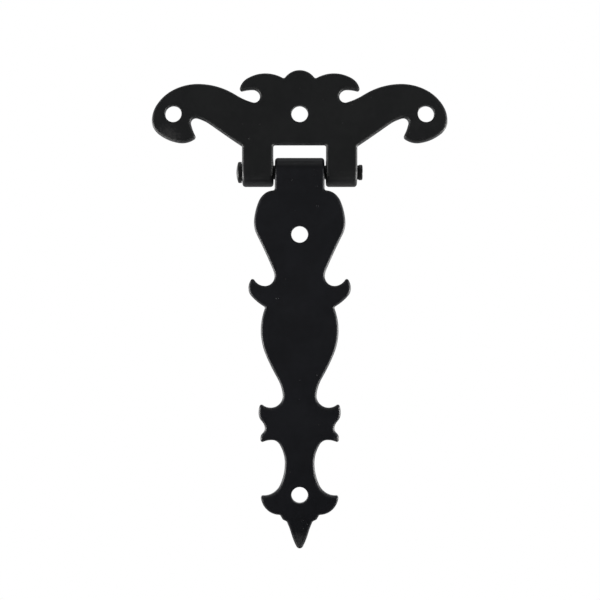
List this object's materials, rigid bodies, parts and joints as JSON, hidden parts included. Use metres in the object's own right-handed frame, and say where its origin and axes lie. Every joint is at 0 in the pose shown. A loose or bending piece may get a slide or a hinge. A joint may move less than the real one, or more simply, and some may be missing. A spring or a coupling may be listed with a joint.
{
  "type": "door hinge",
  "caption": "Ornamental black T-hinge: a wide scrolled plate with rolled lugs, a long leaf-shaped strap that swings on it, and a riveted pin with a domed head.",
  "frame": {"origin": "the plate's middle screw hole, on the back face that lies against the door post", "axes": "+X along the pin towards its peened end, +Z in the plane of the leaves towards the crest, -Y out of the show face; the pin's axis is at Y 2.2 mm, Z -17.2 mm"},
  "size_m": [0.0888, 0.0088, 0.1438],
  "materials": {
    "plate_coat": "satin black powder coat on sheet steel",
    "strap_coat": "satin black powder coat on sheet steel",
    "pin_coat": "satin black powder coat on a steel rivet"
  },
  "bodies": {
    "fixed_leaf": {"crown_plate": "plate_coat", "hinge_pin": "pin_coat"},
    "swinging_leaf": {"strap_leaf": "strap_coat"}
  },
  "joints": [
    {"name": "strap_swing", "type": "hinge", "parent": "fixed_leaf", "child": "swinging_leaf", "pos_m": [0, 0.0022, -0.0172], "axis": [-1, 0, 0], "range_deg": [-180, 105]}
  ]
}
